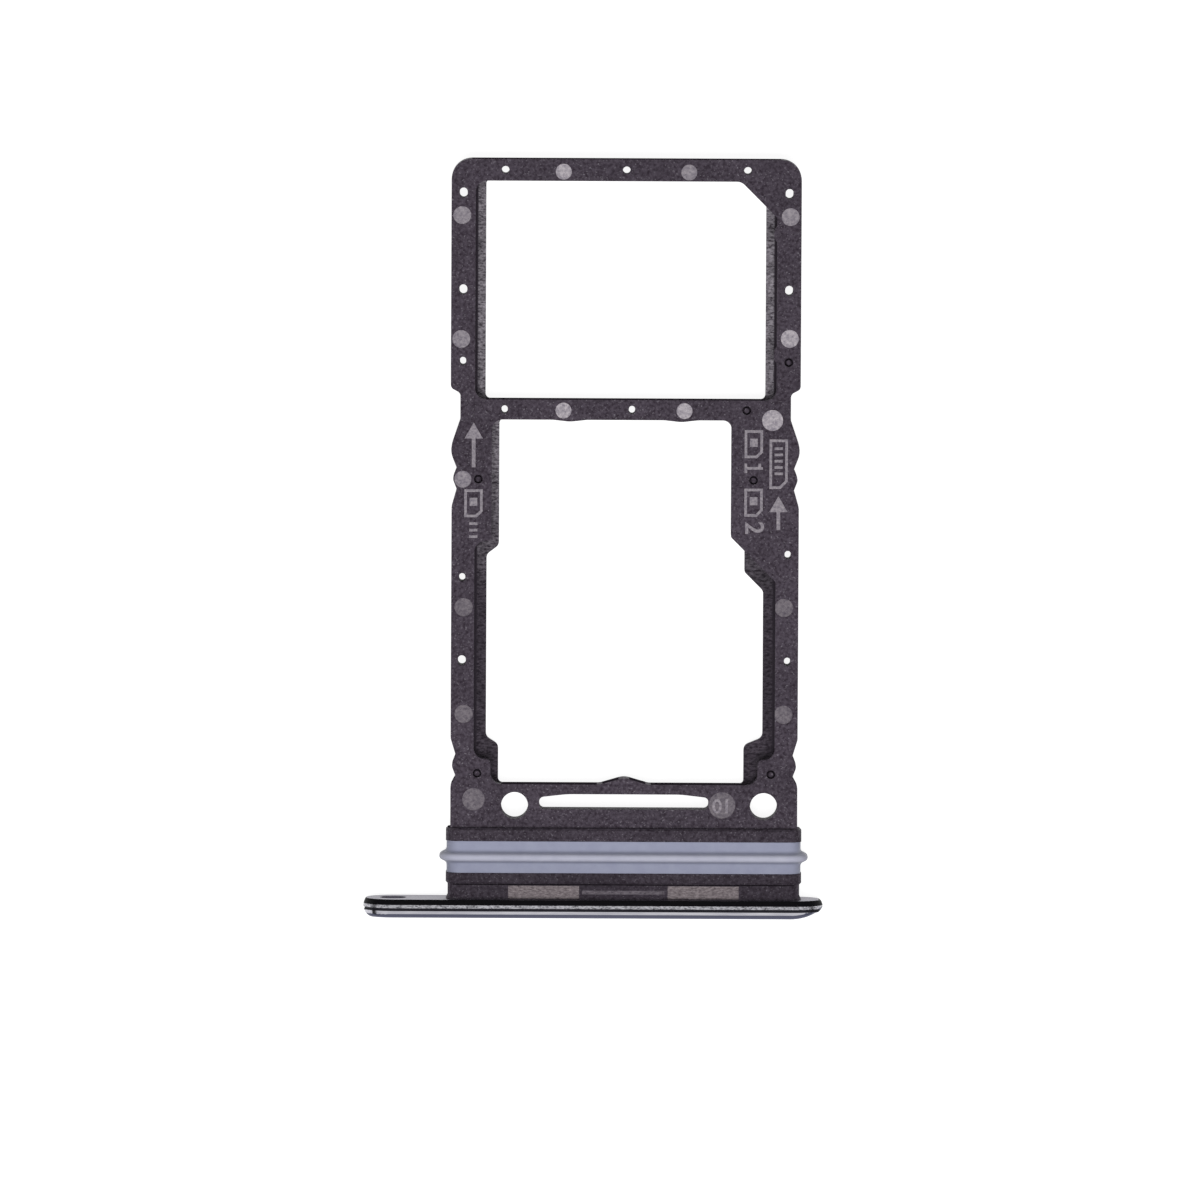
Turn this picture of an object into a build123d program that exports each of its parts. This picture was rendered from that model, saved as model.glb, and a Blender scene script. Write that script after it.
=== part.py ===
from build123d import *
import os

# A phone's card tray in three pieces: a moulded frame with two card bays, a silicone
# seal in the groove behind the cap, and the metal cap that closes the phone's side.
# X runs across the tray, Y runs into the phone and Z points up. Millimetres.

# Cards that the bays take
sim_length = 12.3          # nano card, across the tray
sim_width = 8.8            # nano card, along the tray
sim_clearance = 0.15       # across the tray
sim_end_clearance = 0.24   # along the tray
card_length = 15.0         # memory card, along the tray
card_width = 11.0
card_clearance = 0.05      # across the tray
card_end_clearance = 0.11  # along the tray
card_nose_width = 9.7      # narrow contact end of the memory card
nose_clearance = 0.2

# Lengths along the tray, from the cap to the far end
cap_thickness = 0.76
neck_length = 0.64
front_flange_width = 0.45
groove_width = 1.33
rear_flange_width = 0.53
root_bar_width = 0.78
slot_width = 0.63
beam_width = 0.4
cross_bar_width = 0.83
end_bar_width = 0.9

# Heights
cap_height = 2.45
flange_height = 1.8
frame_thickness = 1.25
ledge_thickness = 0.4

# Frame outline
rail_width = 1.0
rail_inset = 0.05          # the rails stand this far inside the upper bay's sides
far_corner_radius = 0.85
notch_depth = 0.21
notch_spacing = 0.88
notch_radius = 0.07
tooth_depth = 0.04         # tip of the tooth between two notches, below the rail's edge
tooth_radius = 0.3
lower_detent_setback = 0.77      # from the lower bay's front edge to the tooth
upper_detent_setback = 3.28      # from the upper bay's front edge back to the tooth
lower_lead_in = 0.39
lower_lead_out = 0.68
upper_lead = 0.73
lead_radius = 0.4
bulge_height = 0.03
bulge_radius = 0.9
waist_depth = 0.4
waist_length = 1.1
waist_radius = 0.4
shoulder_setback = 0.26    # from the upper bay's front edge to the waist's end
shoulder_rise = 0.21
shoulder_radius = 0.22

# Bays and the ledges that the cards lie on
head_left_ledge = 0.43
head_right_ledge = 0.45
sim_ledge = 0.5
card_ledge = 0.31
tail_ledge = 0.58
corner_ledge = 0.65        # across the lower bay's cut corner
head_corner_cut = 1.49
bay_corner_cut = 1.65
sim_setback = 1.04         # lower nano card's front edge behind the memory card's
wall_radius = 0.45
nose_radius = 0.35
inner_radius = 0.2
ledge_radius = 0.3
corner_radius = 0.15
step_inner_share = 0.3     # most of the step between the two cards that its rounds may take
step_wall_share = 0.65
ledge_step_near = 0.55     # where the side ledges widen, from the nano card's front edge
ledge_step_far = 0.87
left_step_near = 0.22      # the same at the card's back edge, left side
left_step_far = 0.6
crush_rib_radius = 0.5
crush_rib_height = 0.13
crush_rib_stations = (1.88, 6.88)  # from the upper bay's front edge

# Leaf spring and stops
slot_length = 7.0
slot_end_radius = 0.2
slot_taper_length = 1.15
slot_taper_depth = 0.13
slot_taper_radius = 4.0
slot_root_radius = 0.2
spring_nub_width = 2.0
spring_nub_height = 0.29
spring_nub_radius = 0.8
stop_nub_width = 1.4
stop_nub_height = 0.08
stop_nub_radius = 1.5
stop_nub_spacing = 4.6
nub_root = 0.2             # how far a nub's root is sunk into its bar

# Round holes and dimples in the frame
locating_hole_diameter = 1.12
locating_hole_rise = 0.15        # above the slot's front edge
left_hole_margin = 1.02          # from the slot's end to the hole's centre
right_hole_margin = 2.28
end_vent_diameter = 0.32
vent_diameter = 0.33
small_vent_diameter = 0.26
vent_stretch = 0.09              # the vents along the rails are longer than wide
vent_spacing = 5.0               # along the cross bar and the end bar
head_vent_rises = (4.54, 8.54)   # on both rails, from the upper bay's front edge
bay_vent_rise = 5.13             # from the lower bay's front edge
bay_left_vent_rise = 8.57
bay_right_vent_rise = 9.55
bar_vent_offset = 0.26
dimple_diameter = 0.36
dimple_depth = 0.3
head_dimple_rise = 1.58
foot_dimple_rise = 0.45
wall_dimple_margin = 0.55        # outside the memory card's wall
nose_dimple_margin = 0.92        # outside the wall of its narrow end
waist_dimple_setback = 3.3       # from the upper bay's front edge back

# Flanged block with the seal groove
flange_lip = 0.13          # the flanges stand this far outside the rails
flange_radius = 0.5
flange_chamfer = 0.08
groove_depth = 0.33
groove_radius = 0.25
neck_inset = 0.08
neck_radius = 0.4
neck_flare_length = 0.15   # the neck widens where it meets the cap
neck_flare_angle = 28
spigot_inset = 0.35
spigot_length = 0.3
spigot_radius = 0.2
spigot_clearance = 0.03

# Seal ring
seal_fit = 0.01            # gap to the groove's floor and walls
seal_inset = 0.03          # the band lies this far under the flanges
rib_base_width = 0.5
rib_apex_height = 0.47     # where the lip's flanks would meet, above the band
rib_tip_radius = 0.15

# Cap
cap_width = 19.02
tray_offset = 1.25         # the tray's centre line, right of the cap's centre
cap_bend_setback = 0.78    # where the outer face bends back, from the right end
cap_bend_drop = 0.4
cap_bend_radius = 2.4
cap_left_radius = 0.45
cap_right_radius = 0.24
cap_back_radius = 0.2
cap_face_fillet = 0.165
cap_back_chamfer = 0.24    # along the rim
cap_back_drop = 0.08       # the same chamfer, across the rim
rim_groove_setback = 0.33  # from the outer face
rim_groove_width = 0.075
rim_groove_depth = 0.04
eject_hole_diameter = 1.1
eject_hole_chamfer = 0.14

# Stations along the tray, measured from the cap's outer face
flange_front = cap_thickness + neck_length
groove_front = flange_front + front_flange_width
groove_back = groove_front + groove_width
block_back = groove_back + rear_flange_width
slot_front = block_back + root_bar_width
slot_back = slot_front + slot_width
bay_front = slot_back + beam_width
bay_back = bay_front + card_length + card_end_clearance
head_front = bay_back + cross_bar_width
head_back = head_front + sim_width + sim_end_clearance
tray_back = head_back + end_bar_width

# Widths and levels that follow from the sizes above
sim_half = (sim_length + sim_clearance) / 2
card_half = (card_width + card_clearance) / 2
tray_half = sim_half + rail_width
rail_half = tray_half - rail_inset
rail_line = tray_half - rail_width / 2
nose_right = card_nose_width + nose_clearance - card_half
sim_front = bay_front + sim_setback
sim_back = sim_front + sim_width + sim_end_clearance
mid_height = cap_height / 2
frame_bottom = mid_height - frame_thickness / 2
frame_top = mid_height + frame_thickness / 2
ledge_top = frame_bottom + ledge_thickness
flange_width = 2 * (tray_half + flange_lip)
groove_core_width = flange_width - 2 * groove_depth
groove_core_height = flange_height - 2 * groove_depth
neck_width = flange_width - 2 * neck_inset
neck_height = flange_height - 2 * neck_inset
spigot_width = neck_width - 2 * spigot_inset
spigot_height = neck_height - 2 * spigot_inset
seal_floor_width = groove_core_width + 2 * seal_fit
seal_floor_height = groove_core_height + 2 * seal_fit
seal_band = groove_depth - seal_inset - seal_fit
cap_front = -tray_back / 2
cap_back = cap_front + cap_thickness


def tray_plane(height):
    """Plan view of the tray: x from its centre line, y from the cap's outer face."""
    return Plane(origin=(tray_offset, cap_front, height))


def cross_plane(station, centre):
    """Cross-section at a station: x from a centre line, facing out of the phone."""
    return Plane(
        origin=(centre, cap_front + station, mid_height),
        x_dir=(1, 0, 0),
        z_dir=(0, -1, 0),
    )


def outline(corners):
    """A closed flat shape from (x, y, corner radius) triples."""
    with BuildSketch() as shape:
        with BuildLine():
            FilletPolyline(
                *[(x, y) for x, y, radius in corners],
                radius=[radius for x, y, radius in corners],
                close=True,
            )
        make_face()
    return shape.sketch


def detent(centre, lead_in, lead_out):
    """One side's click detent: two notches with a tooth between them."""
    first_notch = centre - notch_spacing / 2
    second_notch = centre + notch_spacing / 2
    return [
        (rail_half, first_notch - lead_in, lead_radius),
        (rail_half - notch_depth, first_notch, notch_radius),
        (rail_half - tooth_depth, centre, tooth_radius),
        (rail_half - notch_depth, second_notch, notch_radius),
        (rail_half, second_notch + lead_out, lead_radius),
    ]


def rail_side():
    """Corners of the frame's right side, from the block to the far end."""
    lower = detent(bay_front + lower_detent_setback, lower_lead_in, lower_lead_out)
    upper = detent(head_front - upper_detent_setback, upper_lead, upper_lead)
    bulge_station = upper.pop()[1]
    waist_edge = tray_half - waist_depth
    waist_end = head_front + shoulder_setback
    return (
        [(rail_half, groove_back, 0)]
        + lower
        + upper
        + [
            (tray_half + bulge_height, bulge_station, bulge_radius),
            (waist_edge, waist_end - waist_length, waist_radius),
            (waist_edge, waist_end, shoulder_radius),
            (tray_half, waist_end + shoulder_rise, shoulder_radius),
            (tray_half, tray_back, far_corner_radius),
        ]
    )


def mirrored(corners):
    """The same corners on the other side of the centre line, in reverse order."""
    return [(-x, y, radius) for x, y, radius in reversed(corners)]


def nub(centre, base, width, height, radius):
    """A low rounded rise on a bar's edge at base. A negative height points to the cap."""
    root = base - nub_root if height > 0 else base + nub_root
    half = width / 2
    foot = half + 2 * abs(height)
    return [
        (centre - foot, root, 0),
        (centre + foot, root, 0),
        (centre + foot, base, 0),
        (centre + half, base, radius),
        (centre, base + height, radius),
        (centre - half, base, radius),
        (centre - foot, base, 0),
    ]


# Upper bay: one nano card with a cut corner, on a ledge at each side
head_diagonal = sim_half + head_back - head_corner_cut
head_pocket = [
    (-sim_half, head_front, wall_radius),
    (sim_half, head_front, wall_radius),
    (sim_half, head_diagonal - sim_half, 0),
    (head_diagonal - head_back, head_back, wall_radius),
    (-sim_half, head_back, wall_radius),
]
head_left = head_left_ledge - sim_half
head_right = sim_half - head_right_ledge
head_window = [
    (head_left, head_front, inner_radius),
    (head_right, head_front, inner_radius),
    (head_right, head_diagonal - head_right, 0),
    (head_diagonal - head_back, head_back, wall_radius),
    (head_left, head_back, corner_radius),
]

# Lower bay: a memory card, or a second nano card across it
bay_diagonal = sim_half + sim_back - bay_corner_cut
card_step = sim_half - card_half
step_inner_radius = min(inner_radius, card_step * step_inner_share)
step_wall_radius = min(wall_radius, card_step * step_wall_share)
bay_pocket = [
    (-card_half, bay_front, wall_radius),
    (card_half, bay_front, wall_radius),
    (card_half, sim_front, step_inner_radius),
    (sim_half, sim_front, step_wall_radius),
    (sim_half, bay_diagonal - sim_half, corner_radius),
    (nose_right, bay_diagonal - nose_right, corner_radius),
    (nose_right, bay_back, nose_radius),
    (-card_half, bay_back, wall_radius),
    (-card_half, sim_back, step_inner_radius),
    (-sim_half, sim_back, step_wall_radius),
    (-sim_half, sim_front, step_wall_radius),
    (-card_half, sim_front, step_inner_radius),
]
card_edge = card_ledge - card_half
tail_edge = card_half - tail_ledge
sim_edge = sim_half - sim_ledge
ledge_diagonal = bay_diagonal - corner_ledge * 2**0.5
bay_window = [
    (card_edge, bay_front, inner_radius),
    (tail_edge, bay_front, corner_radius),
    (tail_edge, sim_front + ledge_step_near, ledge_radius),
    (sim_edge, sim_front + ledge_step_far, ledge_radius),
    (sim_edge, ledge_diagonal - sim_edge, ledge_radius),
    (tail_edge, ledge_diagonal - tail_edge, inner_radius),
    (tail_edge, bay_diagonal - tail_edge, inner_radius),
    (nose_right, bay_diagonal - nose_right, corner_radius),
    (nose_right, bay_back, nose_radius),
    (card_edge, bay_back, inner_radius),
    (card_edge, sim_back - left_step_near, ledge_radius),
    (-sim_edge, sim_back - left_step_far, ledge_radius),
    (-sim_edge, sim_front + ledge_step_far, ledge_radius),
    (card_edge, sim_front + ledge_step_near, ledge_radius),
]

# Slot that frees the leaf spring at the lower bay's front edge
slot_half = slot_length / 2
slot_outline = [
    (-slot_half, slot_front, slot_end_radius),
    (slot_half, slot_front, slot_end_radius),
    (slot_half, slot_back - slot_taper_depth, slot_root_radius),
    (slot_half - slot_taper_length, slot_back, slot_taper_radius),
    (slot_taper_length - slot_half, slot_back, slot_taper_radius),
    (-slot_half, slot_back - slot_taper_depth, slot_root_radius),
]

# Centres of the small round features, on the bars and along the rails
end_bar_line = head_back + end_bar_width / 2
cross_bar_line = head_front - cross_bar_width / 2
waist_line = head_front - waist_dimple_setback
foot_line = bay_front + foot_dimple_rise
wall_dimple_offset = card_half + wall_dimple_margin
locating_station = slot_front + locating_hole_rise
locating_holes = [
    (-slot_half - left_hole_margin, locating_station),
    (slot_half + right_hole_margin, locating_station),
]
end_vents = [(offset, end_bar_line) for offset in (-vent_spacing, 0, vent_spacing)]
vents = []
for rise in head_vent_rises:
    vents += [(side * rail_line, head_front + rise) for side in (-1, 1)]
vents += [(-rail_line, bay_front + bay_vent_rise)]
small_vents = [
    (-rail_line, head_front + head_dimple_rise),
    (-vent_spacing, cross_bar_line),
    (bar_vent_offset, cross_bar_line),
    (rail_line, bay_front + bay_right_vent_rise),
    (-rail_line, bay_front + bay_left_vent_rise),
    (rail_line, bay_front + bay_vent_rise),
]
dimples = [
    (rail_line, head_front + head_dimple_rise),
    (vent_spacing, cross_bar_line),
    (nose_right + nose_dimple_margin, waist_line),
    (-wall_dimple_offset, waist_line),
    (-wall_dimple_offset, foot_line),
    (wall_dimple_offset, foot_line),
]

# Section of the seal ring: x along the tray, y outwards from the groove's floor
band_half = groove_width / 2 - seal_fit
rib_half = rib_base_width / 2
seal_profile = [
    (-band_half, 0, 0),
    (band_half, 0, 0),
    (band_half, seal_band, 0),
    (rib_half, seal_band, 0),
    (0, seal_band + rib_apex_height, rib_tip_radius),
    (-rib_half, seal_band, 0),
    (-band_half, seal_band, 0),
]

# Plan of the cap: outer face bent back at the right end, corners rounded at the left and the back
cap_half = cap_width / 2
eject_radius = eject_hole_diameter / 2
cap_bend = [
    (-cap_half, cap_front, 0),
    (cap_half - cap_bend_setback, cap_front, cap_bend_radius),
    (cap_half, cap_front + cap_bend_drop, 0),
    (cap_half, cap_back, 0),
    (-cap_half, cap_back, 0),
]
cap_corners = [
    (-cap_half, cap_front, cap_left_radius),
    (cap_half, cap_front, 0),
    (cap_half, cap_back, cap_right_radius),
    (-cap_half, cap_back, cap_back_radius),
]

with BuildPart() as tray_frame:
    # Flanges with the seal groove between them, the neck and the spigot that the cap takes
    with BuildSketch(cross_plane(block_back, tray_offset)):
        RectangleRounded(flange_width, flange_height, flange_radius)
    extrude(amount=rear_flange_width)
    chamfer(tray_frame.faces().sort_by(Axis.Y)[-1].edges(), flange_chamfer)
    with BuildSketch(cross_plane(groove_back, tray_offset)):
        RectangleRounded(groove_core_width, groove_core_height, groove_radius)
    extrude(amount=groove_width)
    with BuildSketch(cross_plane(groove_front, tray_offset)):
        RectangleRounded(flange_width, flange_height, flange_radius)
    extrude(amount=front_flange_width)
    chamfer(tray_frame.faces().sort_by(Axis.Y)[0].edges(), flange_chamfer)
    with BuildSketch(cross_plane(flange_front, tray_offset)):
        RectangleRounded(neck_width, neck_height, neck_radius)
    extrude(amount=neck_length)
    with BuildSketch(cross_plane(cap_thickness + neck_flare_length, tray_offset)):
        RectangleRounded(neck_width, neck_height, neck_radius)
    extrude(amount=neck_flare_length, taper=-neck_flare_angle)
    with BuildSketch(cross_plane(cap_thickness, tray_offset)):
        RectangleRounded(spigot_width, spigot_height, spigot_radius)
    extrude(amount=spigot_length)
    # Flat frame with the click detents on both sides
    with BuildSketch(tray_plane(frame_bottom)):
        add(outline(rail_side() + mirrored(rail_side())))
    extrude(amount=frame_thickness)
    # Card pockets down to the ledges, then the windows through them
    with BuildSketch(tray_plane(ledge_top)):
        add(outline(head_pocket))
        add(outline(bay_pocket))
    extrude(amount=frame_top - ledge_top, mode=Mode.SUBTRACT)
    with BuildSketch(tray_plane(frame_bottom)):
        add(outline(head_window))
        add(outline(bay_window))
        add(outline(slot_outline))
    extrude(amount=frame_thickness, mode=Mode.SUBTRACT)
    # Nub on the leaf spring and two stops on the cross bar
    with BuildSketch(tray_plane(frame_bottom)):
        add(outline(nub(0, bay_front, spring_nub_width, spring_nub_height, spring_nub_radius)))
        for side in (-1, 1):
            stop_centre = side * stop_nub_spacing / 2
            add(outline(nub(stop_centre, bay_back, stop_nub_width, -stop_nub_height, stop_nub_radius)))
    extrude(amount=frame_thickness)
    # Ribs on the upper bay's right wall that grip the card's edge
    with BuildSketch(tray_plane(ledge_top)):
        for station in crush_rib_stations:
            with Locations((sim_half + crush_rib_radius - crush_rib_height, head_front + station)):
                Circle(crush_rib_radius)
    extrude(amount=frame_top - ledge_top)
    # Locating holes and moulding vents through the frame, and blind dimples
    with BuildSketch(tray_plane(frame_bottom)):
        with Locations(*locating_holes):
            Circle(locating_hole_diameter / 2)
        with Locations(*end_vents):
            Circle(end_vent_diameter / 2)
        with Locations(*vents):
            SlotCenterToCenter(vent_stretch, vent_diameter, rotation=90)
        with Locations(*small_vents):
            SlotCenterToCenter(vent_stretch, small_vent_diameter, rotation=90)
    extrude(amount=frame_thickness, mode=Mode.SUBTRACT)
    with BuildSketch(tray_plane(frame_top)):
        with Locations(*dimples):
            Circle(dimple_diameter / 2)
    extrude(amount=-dimple_depth, mode=Mode.SUBTRACT)

with BuildSketch(cross_plane(groove_front + groove_width / 2, tray_offset)) as groove_floor:
    RectangleRounded(seal_floor_width, seal_floor_height, groove_radius + seal_fit)
ring_path = groove_floor.sketch.wire()

with BuildPart() as seal_ring:
    # One profile, band and lip together, swept round the groove's floor
    with BuildSketch(Plane(origin=ring_path @ 0, x_dir=(0, -1, 0), z_dir=ring_path % 0)):
        add(outline(seal_profile))
    sweep(path=ring_path)

with BuildPart() as end_cap:
    # Round-ended plate with a bent outer face, its front edge rounded and its back edge chamfered
    with BuildSketch(cross_plane(cap_thickness, 0)):
        SlotOverall(cap_width, cap_height)
    extrude(amount=cap_thickness)
    with BuildSketch(Plane.XY):
        add(outline(cap_bend))
    extrude(amount=cap_height, mode=Mode.INTERSECT)
    rim_edges = end_cap.edges().filter_by(lambda edge: edge.center().Y < cap_front + cap_thickness / 2)
    fillet(rim_edges, cap_face_fillet)
    back_face = end_cap.faces().sort_by(Axis.Y)[-1]
    chamfer(back_face.edges(), cap_back_drop, cap_back_chamfer, reference=back_face)
    # Fine groove round the rim, then the plan's rounded corners
    with BuildSketch(cross_plane(rim_groove_setback + rim_groove_width, 0)):
        SlotOverall(cap_width, cap_height)
        SlotOverall(
            cap_width - 2 * rim_groove_depth,
            cap_height - 2 * rim_groove_depth,
            mode=Mode.SUBTRACT,
        )
    extrude(amount=rim_groove_width, mode=Mode.SUBTRACT)
    with BuildSketch(Plane.XY):
        add(outline(cap_corners))
    extrude(amount=cap_height, mode=Mode.INTERSECT)
    # Pocket in the back that the neck's spigot seats in
    with BuildSketch(cross_plane(cap_thickness, tray_offset)):
        RectangleRounded(
            spigot_width + 2 * spigot_clearance,
            spigot_height + 2 * spigot_clearance,
            spigot_radius + spigot_clearance,
        )
    extrude(amount=spigot_length, mode=Mode.SUBTRACT)
    # Eject-pin hole with a broken edge, on the centre of the left end's round
    with Locations(cross_plane(0, cap_height / 2 - cap_half)):
        CounterSinkHole(eject_radius, eject_radius + eject_hole_chamfer, cap_thickness, 90)

tray_frame.part.label = "tray_frame"
seal_ring.part.label = "seal_ring"
end_cap.part.label = "end_cap"

os.makedirs("parts", exist_ok=True)
export_step(tray_frame.part, "parts/tray_frame.step")
export_step(seal_ring.part, "parts/seal_ring.step")
export_step(end_cap.part, "parts/end_cap.step")
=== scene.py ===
import math

import bpy
from mathutils import Matrix, Vector


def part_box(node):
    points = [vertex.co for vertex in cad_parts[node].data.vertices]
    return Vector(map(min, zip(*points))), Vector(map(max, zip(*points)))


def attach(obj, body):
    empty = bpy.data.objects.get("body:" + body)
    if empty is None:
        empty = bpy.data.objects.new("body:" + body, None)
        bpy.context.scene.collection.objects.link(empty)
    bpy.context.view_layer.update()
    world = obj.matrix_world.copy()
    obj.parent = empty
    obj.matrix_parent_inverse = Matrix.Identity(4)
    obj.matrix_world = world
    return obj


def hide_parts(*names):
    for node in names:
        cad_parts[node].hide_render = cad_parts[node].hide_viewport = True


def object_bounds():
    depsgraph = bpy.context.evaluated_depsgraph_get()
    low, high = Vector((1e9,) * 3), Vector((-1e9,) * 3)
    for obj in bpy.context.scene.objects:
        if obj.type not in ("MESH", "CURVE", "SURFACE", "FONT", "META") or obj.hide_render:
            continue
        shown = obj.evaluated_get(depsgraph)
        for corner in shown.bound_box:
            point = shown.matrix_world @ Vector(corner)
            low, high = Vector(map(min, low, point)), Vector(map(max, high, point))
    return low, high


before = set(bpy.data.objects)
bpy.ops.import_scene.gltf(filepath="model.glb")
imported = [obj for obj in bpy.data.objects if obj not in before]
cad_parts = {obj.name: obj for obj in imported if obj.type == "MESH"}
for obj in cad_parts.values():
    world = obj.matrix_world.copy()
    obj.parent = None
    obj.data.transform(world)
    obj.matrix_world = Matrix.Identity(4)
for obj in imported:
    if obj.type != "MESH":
        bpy.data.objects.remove(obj)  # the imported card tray: tray_frame, seal_ring and end_cap
cadLow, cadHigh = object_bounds()
print("frame loaded:", ", ".join(sorted(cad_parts)))

benchScale = 1000.0  # pieces are shaped in millimetres, then brought back to metres
levels = {
    "flangeStep": 0.275,  # flanges above the rails
    "neckStep": 0.08,     # neck below the flanges
    "ledgeDrop": 0.85,    # ledges below the rails
}
mergeGap = 0.0005  # loose corners of a CAD mesh closer than this are one
flatAngle = 0.2    # degrees, below which two faces are one
levelGap = 0.01    # how far off a level a face may lie
upFacing = 0.99    # a face that points up at least this far is level
white = (1, 1, 1, 1)


def benchBox(node):
    low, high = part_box(node)
    return low * benchScale, high * benchScale


trayLow, trayHigh = benchBox("tray_frame")
sealLow, sealHigh = benchBox("seal_ring")
capLow, capHigh = benchBox("end_cap")
trayMiddle = (trayLow.x + trayHigh.x) / 2  # centre line of the rails
capFace = capLow.y
frameTop = trayHigh.z - levels["flangeStep"]
neckTop = trayHigh.z - levels["neckStep"]
ledgeTop = frameTop - levels["ledgeDrop"]


def onTray(across, along, height):
    return Vector((trayMiddle + across, capFace + along, height))  # along is measured from the cap's face


# everyday operators

def deselectAll():
    if bpy.context.object and bpy.context.object.mode != "OBJECT":
        bpy.ops.object.mode_set(mode="OBJECT")
    bpy.ops.object.select_all(action="DESELECT")


def pick(*pieces):
    deselectAll()
    for piece in pieces:
        piece.select_set(True)
    bpy.context.view_layer.objects.active = pieces[0]


def applyModifier(piece, kind, **settings):
    pick(piece)
    modifier = piece.modifiers.new(kind.title(), kind)
    for name, value in settings.items():
        setattr(modifier, name, value)
    bpy.ops.object.modifier_apply(modifier=modifier.name)


def selectWhere(piece, kind, test):
    deselectAll()
    kinds = ("vertices", "edges", "polygons")
    bpy.context.tool_settings.mesh_select_mode = [name == kind for name in kinds]
    for name in kinds:
        parts = getattr(piece.data, name)
        parts.foreach_set("select", [name == kind and bool(test(part)) for part in parts])
    pick(piece)
    bpy.ops.object.mode_set(mode="EDIT")


def joinPieces(pieces, name):
    pick(*pieces)
    if len(pieces) > 1:
        bpy.ops.object.join()
    joined = bpy.context.object
    joined.name = name
    joined.data.name = name
    return joined


def copyOf(piece, stretch, place):
    twin = bpy.data.objects.new(piece.name, piece.data.copy())
    bpy.context.scene.collection.objects.link(twin)
    twin.data.transform(Matrix.Translation(place) @ Matrix.Diagonal((*stretch, 1)))
    return twin


def benchCopy(node, name):
    piece = bpy.data.objects.new(name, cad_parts[node].data.copy())
    bpy.context.scene.collection.objects.link(piece)
    piece.data.materials.clear()
    pick(piece)
    bpy.ops.mesh.customdata_custom_splitnormals_clear()
    bpy.ops.transform.resize(value=(benchScale,) * 3, center_override=(0, 0, 0))
    bpy.ops.object.transform_apply(location=False, rotation=False, scale=True)
    bpy.ops.object.mode_set(mode="EDIT")
    bpy.ops.mesh.select_all(action="SELECT")
    bpy.ops.mesh.remove_doubles(threshold=mergeGap)
    bpy.ops.mesh.dissolve_limited(angle_limit=math.radians(flatAngle))
    bpy.ops.object.mode_set(mode="OBJECT")
    return piece


def finishPiece(piece, smoothAngle, replaced=None):
    pick(piece)
    bpy.ops.object.shade_smooth_by_angle(angle=math.radians(smoothAngle))
    bpy.ops.transform.resize(value=(1 / benchScale,) * 3, center_override=(0, 0, 0))
    bpy.ops.object.transform_apply(location=False, rotation=False, scale=True)
    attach(piece, "root")
    if replaced:
        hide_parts(replaced)


# material building blocks, with pattern sizes in millimetres

def paint(red, green, blue):
    shares = [level / 255 for level in (red, green, blue)]
    return [s / 12.92 if s <= 0.04045 else ((s + 0.055) / 1.055) ** 2.4 for s in shares] + [1]


def startMaterial(name, roughness, metallic=0.0, specular=0.25):
    material = bpy.data.materials.new(name)
    material.use_nodes = True
    tree = material.node_tree
    shader = tree.nodes["Principled BSDF"]
    shader.inputs["Roughness"].default_value = roughness
    shader.inputs["Metallic"].default_value = metallic
    shader.inputs["Specular IOR Level"].default_value = specular
    return material, tree, shader


def place(tree, stretch=(1, 1, 1)):
    spot = tree.nodes.new("ShaderNodeTexCoord")
    mapping = tree.nodes.new("ShaderNodeMapping")
    mapping.inputs["Scale"].default_value = [benchScale * s for s in stretch]
    tree.links.new(spot.outputs["Object"], mapping.inputs["Vector"])
    return mapping.outputs["Vector"]


def noise(tree, size, detail=2.0, roughness=0.5, stretch=(1, 1, 1)):
    node = tree.nodes.new("ShaderNodeTexNoise")
    node.inputs["Scale"].default_value = 1 / size
    node.inputs["Detail"].default_value = detail
    node.inputs["Roughness"].default_value = roughness
    tree.links.new(place(tree, stretch), node.inputs["Vector"])
    return node.outputs["Fac"]


def spread(tree, value, low, high, outLow=0.0, outHigh=1.0):
    node = tree.nodes.new("ShaderNodeMapRange")
    node.inputs["From Min"].default_value = low
    node.inputs["From Max"].default_value = high
    node.inputs["To Min"].default_value = outLow
    node.inputs["To Max"].default_value = outHigh
    tree.links.new(value, node.inputs["Value"])
    return node.outputs["Result"]


def measured(tree, vector, axis):
    split = tree.nodes.new("ShaderNodeSeparateXYZ")
    tree.links.new(vector, split.inputs["Vector"])
    return split.outputs[axis]


def alongTray(tree):
    return measured(tree, place(tree), "Y")


def fromMiddle(tree):
    distance = tree.nodes.new("ShaderNodeMath")
    distance.operation = "SUBTRACT"
    distance.inputs[1].default_value = trayMiddle
    tree.links.new(measured(tree, place(tree), "X"), distance.inputs[0])
    size = tree.nodes.new("ShaderNodeMath")
    size.operation = "ABSOLUTE"
    tree.links.new(distance.outputs["Value"], size.inputs[0])
    return size.outputs["Value"]


def ramp(tree, value, stops):
    node = tree.nodes.new("ShaderNodeValToRGB")
    points = node.color_ramp.elements
    while len(points) < len(stops):
        points.new(0.5)
    for point, (position, colour) in zip(points, stops):
        point.position = position
        point.color = colour
    tree.links.new(value, node.inputs["Fac"])
    return node.outputs["Color"]


def mixColour(tree, share, first, second, blend="MIX"):
    node = tree.nodes.new("ShaderNodeMix")
    node.data_type = "RGBA"
    node.blend_type = blend
    for socket, source in (("Factor", share), ("A", first), ("B", second)):
        target = next(i for i in node.inputs if i.name == socket and i.type in ("VALUE", "RGBA") and i.enabled)
        if hasattr(source, "links"):
            tree.links.new(source, target)
        else:
            target.default_value = source
    return next(o for o in node.outputs if o.enabled)


def multiplied(tree, colour, shade):
    return mixColour(tree, 1.0, colour, shade, "MULTIPLY")


def mottled(tree, colour, pattern, dim, low=0.3, high=0.7):
    return multiplied(tree, colour, ramp(tree, pattern, [(low, dim), (high, white)]))


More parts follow.
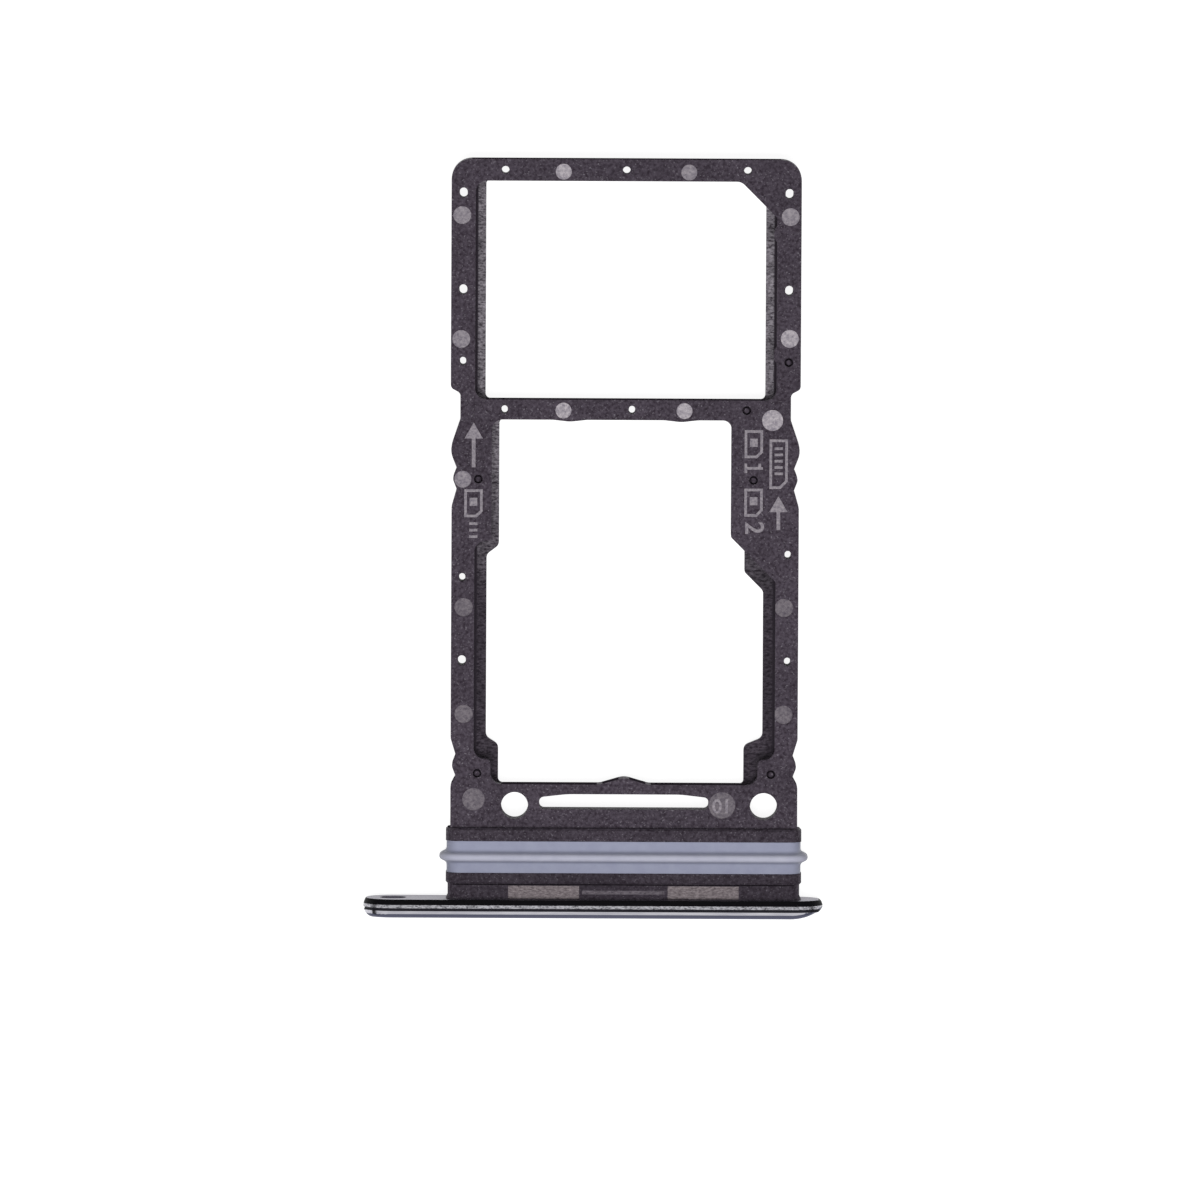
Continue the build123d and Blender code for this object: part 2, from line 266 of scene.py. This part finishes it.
def dress(tree, shader, colour, pattern, rough):
    tree.links.new(colour, shader.inputs["Base Color"])
    tree.links.new(spread(tree, pattern, 0.3, 0.7, *rough), shader.inputs["Roughness"])


def addBump(tree, shader, height, depth, strength):
    node = tree.nodes.new("ShaderNodeBump")
    node.inputs["Strength"].default_value = strength
    node.inputs["Distance"].default_value = depth / benchScale
    tree.links.new(height, node.inputs["Height"])
    tree.links.new(node.outputs["Normal"], shader.inputs["Normal"])


# dark moulded plastic of the frame, with the grain of a spark-eroded mould

plasticFinish = {
    "dark": paint(44, 36, 45), "light": paint(90, 82, 93), "speck": paint(126, 120, 129),
    "grain": 0.13, "speckSize": 0.07, "cloud": 2.6, "bumpDepth": 0.014, "specular": 0.14,
    "tone": 1.0, "rearShadeTone": 0.83, "frontShadeTone": 0.62, "scoreShadeTone": 0.2,  # painted shade: the flanges and neck, and the scored line, are darker copies of the plastic
}
wallFinish = dict(plasticFinish, specular=0.0)  # walls that face into the phone, in the shade


def mouldedPlastic(name, finish, tone="tone"):
    material, tree, shader = startMaterial(name, roughness=0.6, specular=finish["specular"])
    grain = noise(tree, finish["grain"], detail=4.0, roughness=0.65)
    cloud = noise(tree, finish["cloud"], detail=2.0)
    specks = spread(tree, noise(tree, finish["speckSize"], detail=1.0), 0.63, 0.78)
    base = ramp(tree, grain, [(0.30, finish["dark"]), (0.70, finish["light"])])
    cover = mixColour(tree, specks, base, finish["speck"])
    shade = spread(tree, cloud, 0.30, 0.70, 0.80 * finish[tone], finish[tone])
    dress(tree, shader, multiplied(tree, cover, shade), grain, (0.72, 0.5))
    addBump(tree, shader, grain, finish["bumpDepth"], 0.6)
    return material


# discs left by the ejector pins: partly painted light, darker near the cap and paler towards the far end, and
# partly tone that differs at random

pinFinish = {
    "litPale": paint(194, 187, 192), "halfLit": paint(164, 157, 163), "shadedDull": paint(126, 119, 125),
    "dim": paint(176, 174, 184), "mottle": 0.11, "bumpDepth": 0.008,
}


def pinDisc(name, colour, finish):
    material, tree, shader = startMaterial(name, roughness=0.5, specular=0.25)
    mottle = noise(tree, finish["mottle"], detail=4.0, roughness=0.7)
    dress(tree, shader, mottled(tree, colour, mottle, finish["dim"], 0.34, 0.64), mottle, (0.6, 0.42))
    addBump(tree, shader, mottle, finish["bumpDepth"], 0.5)
    return material


# marks of the mould's insert blades on the neck, and the faint line between them

bladeFinish = {"dark": paint(54, 47, 51), "light": paint(154, 144, 147), "lines": 0.07, "bumpDepth": 0.008}
flashFinish = {"dark": paint(40, 33, 41), "light": paint(124, 117, 125), "lines": 0.07, "bumpDepth": 0.01}


def bladeMark(name, finish):
    material, tree, shader = startMaterial(name, roughness=0.55, specular=0.2)
    lines = noise(tree, finish["lines"], detail=4.0, roughness=0.75, stretch=(0.4, 1.0, 1.0))
    colour = ramp(tree, lines, [(0.28, finish["dark"]), (0.72, finish["light"])])
    dress(tree, shader, colour, lines, (0.62, 0.45))
    addBump(tree, shader, lines, finish["bumpDepth"], 0.5)
    return material


# ledges: cutter chatter runs across them; painted light makes them paler in the upper bay and painted shade
# darker in the lower bay

ledgeFinish = {
    "shadedLowerDark": paint(30, 24, 32), "shadedLowerLight": paint(76, 69, 78),
    "litUpperDark": paint(50, 44, 52), "litUpperLight": paint(160, 154, 162), "foot": paint(44, 38, 46),
    "litFrom": -2.5, "litTo": 4.0,       # where the painted light of the upper bay takes over, along the tray, from its middle
    "footShadeStart": 6.09, "footShadeEnd": 6.14,    # painted shade line at the foot of the wall, from the centre line
    "chatter": 0.10, "blotch": 0.7, "bumpDepth": 0.014,
}


def chatteredLedge(name, finish):
    material, tree, shader = startMaterial(name, roughness=0.55, specular=0.2)
    chatter = noise(tree, finish["chatter"], detail=4.0, roughness=0.75, stretch=(0.45, 1.0, 1.0))
    shadedLower = ramp(tree, chatter, [(0.40, finish["shadedLowerDark"]), (0.60, finish["shadedLowerLight"])])
    litUpper = ramp(tree, chatter, [(0.38, finish["litUpperDark"]), (0.62, finish["litUpperLight"])])
    # painted light: lit upper-bay ledges, shaded lower-bay ledges
    lightToned = mixColour(tree, spread(tree, alongTray(tree), finish["litFrom"], finish["litTo"]), shadedLower, litUpper)
    blotch = spread(tree, noise(tree, finish["blotch"], detail=2.0), 0.35, 0.65, 0.66, 1.05)
    # painted shade along the foot of the pocket wall
    foot = spread(tree, fromMiddle(tree), finish["footShadeStart"], finish["footShadeEnd"])
    colour = mixColour(tree, foot, multiplied(tree, lightToned, blotch), finish["foot"])
    dress(tree, shader, colour, chatter, (0.65, 0.42))
    addBump(tree, shader, chatter, finish["bumpDepth"], 0.7)
    return material


framePlastic = mouldedPlastic("framePlastic", plasticFinish)
# painted shade: the rear flange, and the front flange with the neck, get darker copies of the frame plastic
rearShadedPlastic = mouldedPlastic("rearShadedPlastic", plasticFinish, "rearShadeTone")
frontShadedPlastic = mouldedPlastic("frontShadedPlastic", plasticFinish, "frontShadeTone")
wallPlastic = mouldedPlastic("wallPlastic", wallFinish)
# painted shade: the scored line is painted near black
scoreShadedPlastic = mouldedPlastic("scoreShadedPlastic", wallFinish, "scoreShadeTone")
# painted light: the disc tones step from dark near the cap to pale towards the far end
pinLightTones = ("litPale", "halfLit", "shadedDull")
pinPlastics = {tone: pinDisc(tone + "Pin", pinFinish[tone], pinFinish) for tone in pinLightTones}
bladePlastic = bladeMark("bladePlastic", bladeFinish)
flashPlastic = bladeMark("flashPlastic", flashFinish)
ledgePlastic = chatteredLedge("ledgePlastic", ledgeFinish)
print("frame materials made")


# the frame, with ejector-pin discs, insert-blade marks and a scored line sunk into it

pinMarks = {
    "depth": 0.03, "sides": 48,
    "litPale": (  # across, along, diameter
        (-2.60, 30.88, 0.66), (6.76, 24.02, 0.74), (-2.57, 21.01, 0.66), (2.43, 21.01, 0.66),
        (6.07, 20.64, 0.87),
    ),
    "halfLit": (
        (2.58, 30.87, 0.66), (-6.78, 29.07, 0.74), (6.77, 29.05, 0.74), (-6.80, 23.95, 0.74),
        (-6.71, 18.15, 0.70),
    ),
    "shadedDull": (
        (-6.66, 12.85, 0.76), (6.58, 12.88, 0.76), (-6.64, 8.43, 0.76), (6.58, 8.45, 0.76),
        (-6.22, 4.89, 0.93), (4.06, 4.68, 1.10),
    ),
}
neckMarks = {
    "along": 1.06, "clear": 0.2,                                        # cut up through the neck's flare
    "blade": (2.94, 0.54), "bladeDepth": 0.02, "bladeAcross": 3.30,     # length and width, on both sides
    "flash": (3.4, 0.16), "flashDepth": 0.008,                          # faint line between the blades
    # the scored line's cut is painted near black as shade
    "score": (15.0, 0.045), "scoreDepth": 0.05, "scoreAlong": 1.378,
}


def pinCutters(marks):
    bpy.ops.mesh.primitive_cylinder_add(vertices=marks["sides"], radius=0.5, depth=1)
    master = bpy.context.object
    cutters = []
    for tone, material in pinPlastics.items():
        for across, along, diameter in marks[tone]:
            stretch = (diameter, diameter, 2 * marks["depth"])
            cutters.append(copyOf(master, stretch, onTray(across, along, frameTop)))
            cutters[-1].data.materials.append(material)
    bpy.data.objects.remove(master)
    return joinPieces(cutters, "pinCutters")


def neckCutters(marks):
    bpy.ops.mesh.primitive_cube_add(size=1)
    master = bpy.context.object
    cutters = []
    for size, depth, across, along, material in (
        (marks["blade"], marks["bladeDepth"], -marks["bladeAcross"], marks["along"], bladePlastic),
        (marks["blade"], marks["bladeDepth"], marks["bladeAcross"], marks["along"], bladePlastic),
        (marks["flash"], marks["flashDepth"], 0, marks["along"], flashPlastic),
        (marks["score"], marks["scoreDepth"], 0, marks["scoreAlong"], scoreShadedPlastic),
    ):
        height = marks["clear"] + depth
        spot = onTray(across, along, neckTop - depth + height / 2)
        cutters.append(copyOf(master, (*size, height), spot))
        cutters[-1].data.materials.append(material)
    bpy.data.objects.remove(master)
    return joinPieces(cutters, "neckCutters")


dimplePosts = {"depth": 0.30, "gap": 0.085, "rise": 0.24}  # a post stands in each blind dimple
shadeWalls = {
    "facing": 0.3, "lean": 0.3, "area": 0.2,  # large upright walls that face into the phone
    "slot": (4.45, 5.15), "slotHalf": 3.6,    # the leaf spring's slot is left out
}
flangeShadeZones = {"frontShadedPlastic": (0.70, 1.90), "rearShadedPlastic": (3.10, 3.72)}  # painted shade: darker copies of the plastic on the flanges and the neck, along the tray
flangeRise = 0.1  # faces this far above the rails belong to the flanges and the neck


def frameZone(face):
    along = face.center.y - capFace
    slotNear, slotFar = shadeWalls["slot"]
    inSlot = slotNear < along < slotFar and abs(face.center.x - trayMiddle) < shadeWalls["slotHalf"]
    upright = abs(face.normal.z) < shadeWalls["lean"] and face.area > shadeWalls["area"]
    if face.normal.z > upFacing and abs(face.center.z - ledgeTop) < levelGap:
        return "ledgePlastic"
    if face.normal.y > shadeWalls["facing"] and upright and not inSlot:
        return "wallPlastic"
    if face.center.z > frameTop + flangeRise and face.material_index == 0:
        for zone, (near, far) in flangeShadeZones.items():
            if near < along < far:
                return zone
    return None


deselectAll()
trayFrame = benchCopy("tray_frame", "trayFrame")
trayFrame.data.materials.append(framePlastic)
selectWhere(trayFrame, "polygons", lambda face: face.normal.z > upFacing
            and abs(face.center.z - frameTop + dimplePosts["depth"]) < levelGap)
bpy.ops.mesh.inset(thickness=dimplePosts["gap"], use_individual=True)
bpy.ops.transform.translate(value=(0, 0, dimplePosts["rise"]))
bpy.ops.object.mode_set(mode="OBJECT")
for cutter in (pinCutters(pinMarks), neckCutters(neckMarks)):
    applyModifier(trayFrame, "BOOLEAN", operation="DIFFERENCE", object=cutter, solver="EXACT",
                  material_mode="TRANSFER")
    bpy.data.objects.remove(cutter)
for material in (ledgePlastic, wallPlastic, frontShadedPlastic, rearShadedPlastic):
    trayFrame.data.materials.append(material)
frameSlots = {material.name: index for index, material in enumerate(trayFrame.data.materials)}
for face in trayFrame.data.polygons:
    zone = frameZone(face)
    if zone:
        face.material_index = frameSlots[zone]
finishPiece(trayFrame, 30, "tray_frame")
print("tray frame:", len(trayFrame.data.polygons), "faces")


# raised signs on the rails: which card lies where and which way the tray slides in

signFinish = {
    "colour": paint(164, 157, 163), "dim": paint(176, 174, 184), "mottle": 0.11, "bumpDepth": 0.006,
}
railSigns = {
    "tall": 0.76, "stroke": 0.11, "bold": 0.015, "rise": 0.02, "sink": 0.03,
    "nano": (1.16, 0.24), "memory": (2.05, 0.30),           # a card's length and cut corner
    "chip": (0.34, 0.32), "chipMiddle": 0.52,
    "contact": 0.34, "edgePitch": 0.27, "memoryPitch": 0.26, "memoryEdge": 0.38,
    "afterCard": 1.36, "edgeStart": 1.42,                   # where a figure or edge strokes follow a card
    "arrowHead": 0.44, "arrowStroke": 1.4, "insertLength": 1.85, "memoryArrow": (2.35, 1.4),
    "figureFoot": 0.40, "figureFlag": 0.14, "figureMiddle": 0.22, "flagDrop": 1.2,
    "capitals": 0.7, "cavityTall": 0.56,                    # capitals stand at this share of the type size
    "insertArrow": (-6.27, 20.50),  # where each sign starts: across and along
    "lowerCard": (-6.27, 17.74),
    "firstCard": (5.30, 20.24),
    "secondCard": (5.30, 17.82),
    "memoryCard": (6.33, 19.86),
    "cavity": (4.06, 4.68),
}


def flatBar(length, width, middle):
    deselectAll()
    bpy.ops.mesh.primitive_plane_add(size=1)
    bar = bpy.context.object
    bar.data.transform(Matrix.Translation((*middle, 0)) @ Matrix.Diagonal((length, width, 1, 1)))
    return bar


def cardRing(length, width, cornerCut, stroke, start):
    ring = flatBar(length, width, (start + length / 2, 0))
    selectWhere(ring, "vertices", lambda spot: spot.co.x > start + length / 2 and spot.co.y > 0)
    bpy.ops.mesh.bevel(offset=cornerCut, affect="VERTICES")
    bpy.ops.mesh.select_all(action="SELECT")
    bpy.ops.mesh.inset(thickness=stroke)
    bpy.ops.mesh.delete(type="FACE")
    bpy.ops.object.mode_set(mode="OBJECT")
    return ring


def numeral(signs, figure, tall, start, side="LEFT"):
    deselectAll()
    bpy.ops.object.text_add()
    letter = bpy.context.object
    letter.data.body = figure
    letter.data.size = tall / signs["capitals"]
    letter.data.align_x = side
    letter.data.align_y = "CENTER"
    letter.data.offset = signs["bold"]
    pick(letter)
    bpy.ops.object.convert(target="MESH")
    letter = bpy.context.object
    letter.data.transform(Matrix.Translation((start, 0, 0)))
    return letter


def nanoCard(signs):
    length, cornerCut = signs["nano"]
    chip = flatBar(*signs["chip"], (signs["chipMiddle"], 0))
    return [cardRing(length, signs["tall"], cornerCut, signs["stroke"], 0), chip]


def arrow(signs, start, length):
    radius = signs["arrowHead"]
    deselectAll()
    bpy.ops.mesh.primitive_circle_add(vertices=3, radius=radius, fill_type="NGON")
    head = bpy.context.object
    head.data.transform(Matrix.Translation((start + radius, 0, 0)) @ Matrix.Rotation(math.radians(90), 4, "Z"))
    headLength = 1.5 * radius  # height of the triangle in that circle
    shaft = flatBar(length - headLength, signs["arrowStroke"] * signs["stroke"],
                    (start + (length + headLength) / 2, 0))
    return [head, shaft]


def figureOne(signs, start):
    tall, stroke = signs["tall"], signs["stroke"]
    middle = start + signs["figureMiddle"]
    foot = flatBar(signs["figureFoot"], stroke, (middle, (stroke - tall) / 2))
    stem = flatBar(stroke, tall - stroke, (middle, stroke / 2))
    flagMiddle = middle - (stroke + signs["figureFlag"]) / 2
    flag = flatBar(signs["figureFlag"], stroke, (flagMiddle, tall / 2 - signs["flagDrop"] * stroke))
    return [foot, stem, flag]


def contactRow(signs, count, start, pitch):
    return [flatBar(signs["stroke"], signs["contact"], (start + step * pitch, 0)) for step in range(count)]


def setSign(pieces, name, signs, turn=-90, drop=0.0):
    sign = joinPieces(pieces, name)
    across, along = signs[name]
    applyModifier(sign, "SOLIDIFY", thickness=signs["rise"] + signs["sink"], offset=1.0)
    spot = onTray(across, along, frameTop - signs["sink"] - drop)
    sign.data.transform(Matrix.Translation(spot) @ Matrix.Rotation(math.radians(turn), 4, "Z"))
    return sign


def makeSigns(signs):
    tall, after = signs["tall"], signs["afterCard"]
    length, cornerCut = signs["memory"]
    memory = [cardRing(length, tall, cornerCut, signs["stroke"], 0)]
    memory += contactRow(signs, 5, signs["memoryEdge"], signs["memoryPitch"])
    edge = contactRow(signs, 3, signs["edgeStart"], signs["edgePitch"])
    cavity = [numeral(signs, "10", signs["cavityTall"], 0, "CENTER")]
    groups = [
        setSign(arrow(signs, 0, signs["insertLength"]), "insertArrow", signs),
        setSign(nanoCard(signs) + edge, "lowerCard", signs),
        setSign(nanoCard(signs) + figureOne(signs, after), "firstCard", signs),
        setSign(nanoCard(signs) + [numeral(signs, "2", tall, after)], "secondCard", signs),
        setSign(memory + arrow(signs, *signs["memoryArrow"]), "memoryCard", signs),
        setSign(cavity, "cavity", signs, turn=180, drop=pinMarks["depth"]),  # sunk with its pin disc
    ]
    return joinPieces(groups, "railSigns")


signPieces = makeSigns(railSigns)
signPieces.data.materials.clear()
signPieces.data.materials.append(pinDisc("signPlastic", signFinish["colour"], signFinish))
finishPiece(signPieces, 30)
print("rail signs:", len(signPieces.data.polygons), "faces")


# silicone ring, with a painted highlight along the crest of its lip, painted shade at the lip's foot on each
# side, and its near band painted a little darker than its far band as shade

siliconeFinish = {
    # painted light: the near band is shaded darker than the far band, the lip's feet get painted shade and its
    # crest a painted highlight
    "nearShadedBody": paint(150, 153, 173), "farLitBody": paint(156, 159, 180),
    "nearFootShade": paint(134, 137, 156), "farFootShade": paint(150, 153, 173), "crestHighlight": paint(186, 187, 203),
    "dim": paint(243, 243, 246), "crestHighlightHalf": 0.30, "mottle": 0.5, "fine": 0.06, "bumpDepth": 0.004,
}
sealMiddle = (sealLow.y + sealHigh.y) / 2
lipFoot = {"half": 0.25, "reach": 0.004, "round": 0.09, "steps": 3}  # the lip flows into the band


def softSilicone(name, finish):
    material, tree, shader = startMaterial(name, roughness=0.5, specular=0.25)
    half = finish["crestHighlightHalf"]
    # painted light across the ring: shaded near band, shaded feet, highlit crest, lit far band
    lightBand = ramp(tree, spread(tree, alongTray(tree), sealMiddle - half, sealMiddle + half), [
        (0.04, finish["nearShadedBody"]), (0.14, finish["nearFootShade"]),
        (0.20, finish["nearFootShade"]), (0.30, finish["crestHighlight"]),
        (0.70, finish["crestHighlight"]), (0.80, finish["farFootShade"]),
        (0.86, finish["farFootShade"]), (0.96, finish["farLitBody"]),
    ])
    mottle = noise(tree, finish["mottle"], detail=4.0, roughness=0.6)
    dress(tree, shader, mottled(tree, lightBand, mottle, finish["dim"]), mottle, (0.56, 0.44))
    addBump(tree, shader, noise(tree, finish["fine"], detail=2.0), finish["bumpDepth"], 0.4)
    shader.inputs["Sheen Weight"].default_value = 0.15
    shader.inputs["Sheen Roughness"].default_value = 0.5
    return material


sealRing = benchCopy("seal_ring", "sealRing")
sealPoints = sealRing.data.vertices
selectWhere(sealRing, "edges", lambda edge: all(
    abs(abs(sealPoints[i].co.y - sealMiddle) - lipFoot["half"]) < lipFoot["reach"] for i in edge.vertices
))
bpy.ops.mesh.bevel(offset=lipFoot["round"], segments=lipFoot["steps"], profile=0.5, clamp_overlap=True)
bpy.ops.object.mode_set(mode="OBJECT")
sealRing.data.materials.append(softSilicone("sealSilicone", siliconeFinish))
finishPiece(sealRing, 30, "seal_ring")
print("seal ring:", len(sealRing.data.polygons), "faces")


# metal cap: satin blue-grey face, polished and machined bands round the rim with a groove between; painted shade
# darkens the fillet round the face and the groove, and a near-black painted shadow lies at the back of the rim

capFinish = {
    # painted shade: the fillet's colour, the groove's, and the near-black shadow at the back; the rest is the
    # metal's own colour
    "face": paint(128, 133, 156), "edge": paint(92, 93, 110), "polished": paint(200, 199, 205),
    "bandDark": paint(48, 46, 52), "bandLight": paint(190, 189, 195), "groove": paint(40, 39, 45),
    "shadowBand": paint(12, 11, 14), "back": paint(130, 126, 138), "bumpDepth": 0.004,
    "satinDim": paint(238, 239, 243), "polishedDim": paint(222, 222, 226), "shadeDim": paint(190, 190, 194),
    "satinGrain": 0.05, "satinCloud": 5.0, "polishLines": 0.12, "chips": 0.045, "shadeGrain": 0.08,
}
rimGroove = {"near": 0.27, "far": 0.43, "depth": 0.01}  # from the face, and how far in its faces lie
rimShift = {"inset": 0.12, "lines": ((0.30, 0.36, -0.045), (0.50, 0.60, 0.015))}  # from, to, move back
capFacing = {  # how far a face looks out of the phone (below 0) or into it
    "face": -0.97, "bent": -0.85, "bentLean": 0.12, "edge": -0.04, "shadowBand": 0.15, "back": 0.95, "backInset": 0.2,
}


def satinFace(name, colour, finish):
    material, tree, shader = startMaterial(name, roughness=0.38, metallic=0.85)
    grain = noise(tree, finish["satinGrain"], detail=3.0, roughness=0.6)
    cloud = noise(tree, finish["satinCloud"], detail=1.0)
    dress(tree, shader, mottled(tree, colour, cloud, finish["satinDim"]), grain, (0.44, 0.34))
    addBump(tree, shader, grain, finish["bumpDepth"], 0.3)
    return material


def polishedBand(name, colour, finish):
    material, tree, shader = startMaterial(name, roughness=0.16, metallic=1.0)
    lines = noise(tree, finish["polishLines"], detail=2.0, roughness=0.6, stretch=(0.1, 1.0, 1.0))
    dress(tree, shader, mottled(tree, colour, lines, finish["polishedDim"]), lines, (0.22, 0.12))
    addBump(tree, shader, lines, finish["bumpDepth"] / 2, 0.2)
    return material


def machinedBand(name, finish):
    material, tree, shader = startMaterial(name, roughness=0.3, metallic=1.0)
    chips = noise(tree, finish["chips"], detail=3.0, roughness=0.75, stretch=(0.4, 1.0, 1.0))
    colour = ramp(tree, chips, [(0.34, finish["bandDark"]), (0.58, finish["bandLight"])])
    dress(tree, shader, colour, chips, (0.45, 0.2))
    addBump(tree, shader, chips, finish["bumpDepth"], 0.5)
    return material


# dark matte coat of painted shade, for the groove and the near-black band at the back of the rim
def paintedShade(name, colour, finish):
    material, tree, shader = startMaterial(name, roughness=0.6, specular=0.05)
    grain = noise(tree, finish["shadeGrain"], detail=3.0, roughness=0.6)
    dress(tree, shader, mottled(tree, colour, grain, finish["shadeDim"]), grain, (0.6, 0.42))
    addBump(tree, shader, grain, finish["bumpDepth"], 0.4)
    return material


capZones = {
    "face": satinFace("capFace", capFinish["face"], capFinish),
    # painted shade: the fillet round the face is a darker copy of the face's satin metal
    "edge": satinFace("capEdgeShade", capFinish["edge"], capFinish),
    "polished": polishedBand("capPolished", capFinish["polished"], capFinish),
    "machined": machinedBand("capMachined", capFinish),
    # painted shade in the groove
    "groove": paintedShade("capGrooveShade", capFinish["groove"], capFinish),
    # painted shadow at the back of the rim
    "shadowBand": paintedShade("capShadowBand", capFinish["shadowBand"], capFinish),
    "back": satinFace("capBack", capFinish["back"], capFinish),
}


def rimInset(point):
    middle = (capLow.z + capHigh.z) / 2
    radius = capHigh.z - middle  # of the cap's round ends
    pastRound = max(abs(point.x) - (capHigh.x - radius), 0)
    return radius - math.hypot(pastRound, point.z - middle)


def capZone(face):
    facing = face.normal.y
    depth = face.center.y - capFace
    inset = rimInset(face.center)
    bent = facing < capFacing["bent"] and abs(face.normal.z) < capFacing["bentLean"]
    if facing < capFacing["face"] or bent:
        return "face"
    # the fillet round the face, painted darker as shade
    if facing < capFacing["edge"]:
        return "edge"
    if facing > capFacing["back"] or inset > capFacing["backInset"]:
        return "back"
    # faces sunk in the groove: painted shade
    if rimGroove["near"] < depth < rimGroove["far"] and inset > rimGroove["depth"]:
        return "groove"
    # faces that look into the phone: a near-black painted shadow band
    if facing > capFacing["shadowBand"]:
        return "shadowBand"
    return "polished" if depth < rimGroove["near"] else "machined"


endCap = benchCopy("end_cap", "endCap")
for near, far, move in rimShift["lines"]:
    selectWhere(endCap, "vertices", lambda spot: near < spot.co.y - capFace < far
                and rimInset(spot.co) < rimShift["inset"])
    bpy.ops.transform.translate(value=(0, move, 0))
    bpy.ops.object.mode_set(mode="OBJECT")
for material in capZones.values():
    endCap.data.materials.append(material)
for face in endCap.data.polygons:
    face.material_index = list(capZones).index(capZone(face))
finishPiece(endCap, 30, "end_cap")
print("end cap:", len(endCap.data.polygons), "faces")


# studio: a white floor that still takes the shadow, a key light from the cap's side and a soft sky

studio = {
    "floorSize": 3.0, "floorTone": 0.35, "floorGlow": 0.9,
    "keyPower": 1.0, "keySize": 0.16, "keyDistance": 0.36, "keyLean": 14,
    "skyTop": 0.34, "skySide": 0.12,
    "cardDistance": 0.3, "cardHeight": 0.11, "cardWidth": 0.7, "cardTone": 0.004,
}


def seenDirectly(tree):
    path = tree.nodes.new("ShaderNodeLightPath")
    total = None
    for ray in ("Is Camera Ray", "Is Glossy Ray", "Is Transmission Ray"):
        if total is None:
            total = path.outputs[ray]
            continue
        larger = tree.nodes.new("ShaderNodeMath")
        larger.operation = "MAXIMUM"
        tree.links.new(total, larger.inputs[0])
        tree.links.new(path.outputs[ray], larger.inputs[1])
        total = larger.outputs["Value"]
    return total


def makeFloor(settings):
    deselectAll()
    bpy.ops.mesh.primitive_plane_add(size=settings["floorSize"], location=(0, 0, cadLow.z))
    floor = bpy.context.object
    floor.name = "studioFloor"
    material = bpy.data.materials.new("studioFloor")
    material.use_nodes = True
    tree = material.node_tree
    shader = tree.nodes["Principled BSDF"]
    shader.inputs["Base Color"].default_value = (*[settings["floorTone"]] * 3, 1)
    shader.inputs["Roughness"].default_value = 1.0
    shader.inputs["Specular IOR Level"].default_value = 0.0
    shader.inputs["Emission Color"].default_value = white
    glow = spread(tree, seenDirectly(tree), 0.0, 1.0, 0.0, settings["floorGlow"])
    tree.links.new(glow, shader.inputs["Emission Strength"])
    floor.data.materials.append(material)


def makeSky(settings):
    world = bpy.data.worlds.new("studioSky")
    bpy.context.scene.world = world
    world.use_nodes = True
    tree = world.node_tree
    soft = tree.nodes["Background"]
    direction = tree.nodes.new("ShaderNodeTexCoord")
    upward = measured(tree, direction.outputs["Generated"], "Z")
    strength = spread(tree, upward, 0.0, 1.0, settings["skySide"], settings["skyTop"])
    tree.links.new(strength, soft.inputs["Strength"])
    soft.inputs["Color"].default_value = white
    backdrop = tree.nodes.new("ShaderNodeBackground")
    backdrop.inputs["Color"].default_value = white
    pickSky = tree.nodes.new("ShaderNodeMixShader")
    tree.links.new(seenDirectly(tree), pickSky.inputs["Fac"])
    tree.links.new(soft.outputs["Background"], pickSky.inputs[1])
    tree.links.new(backdrop.outputs["Background"], pickSky.inputs[2])
    tree.links.new(pickSky.outputs["Shader"], tree.nodes["World Output"].inputs["Surface"])


def makeKey(settings):
    lean = math.radians(settings["keyLean"])
    bpy.ops.object.light_add(type="AREA")
    key = bpy.context.object
    key.name = "keyLight"
    key.data.energy = settings["keyPower"]
    key.data.size = settings["keySize"]
    key.location = Vector((0, -math.sin(lean), math.cos(lean))) * settings["keyDistance"]
    key.rotation_euler = (-lean, 0, 0)
    key.visible_camera = False
    key.visible_glossy = False


def makeCards(settings):
    material = bpy.data.materials.new("blackCard")
    material.use_nodes = True
    shader = material.node_tree.nodes["Principled BSDF"]
    shader.inputs["Base Color"].default_value = (*[settings["cardTone"]] * 3, 1)
    shader.inputs["Specular IOR Level"].default_value = 0.0
    for name, turn in (("farCard", 0), ("leftCard", 90), ("rightCard", -90)):
        deselectAll()
        bpy.ops.mesh.primitive_plane_add(size=1)
        card = bpy.context.object
        card.name = name
        spin = Matrix.Rotation(math.radians(turn), 4, "Z")
        stand = Matrix.Translation((0, settings["cardDistance"], settings["cardHeight"] / 2))
        upright = Matrix.Rotation(math.radians(90), 4, "X")
        size = Matrix.Diagonal((settings["cardWidth"], settings["cardHeight"], 1, 1))
        card.data.transform(spin @ stand @ upright @ size)
        card.data.materials.append(material)
        for ray in ("visible_camera", "visible_diffuse", "visible_transmission", "visible_shadow"):
            setattr(card, ray, False)  # only reflections see the cards


makeFloor(studio)
makeSky(studio)
makeKey(studio)
makeCards(studio)
print("studio lit")


# camera: almost straight down, from the far end's side, with a long lens

shot = {
    "distance": 0.7, "lean": 4.0, "roll": 0.27, "sensor": 36.0,
    "pictureWidth": 49.59, "target": (0.225, -2.17, 1.85),  # millimetres
    "clip": (0.01, 10.0),
}


def makeCamera(settings):
    bpy.ops.object.camera_add()
    camera = bpy.context.object
    camera.name = "photoCamera"
    camera.data.sensor_width = settings["sensor"]
    camera.data.lens = settings["sensor"] * settings["distance"] / (settings["pictureWidth"] / benchScale)
    camera.rotation_euler = (-math.radians(settings["lean"]), 0, math.radians(settings["roll"]))
    back = camera.rotation_euler.to_matrix() @ Vector((0, 0, 1))
    camera.location = Vector(settings["target"]) / benchScale + back * settings["distance"]
    camera.data.clip_start, camera.data.clip_end = settings["clip"]
    bpy.context.scene.camera = camera


makeCamera(shot)
bpy.context.scene.view_settings.view_transform = "Standard"
print("camera set")
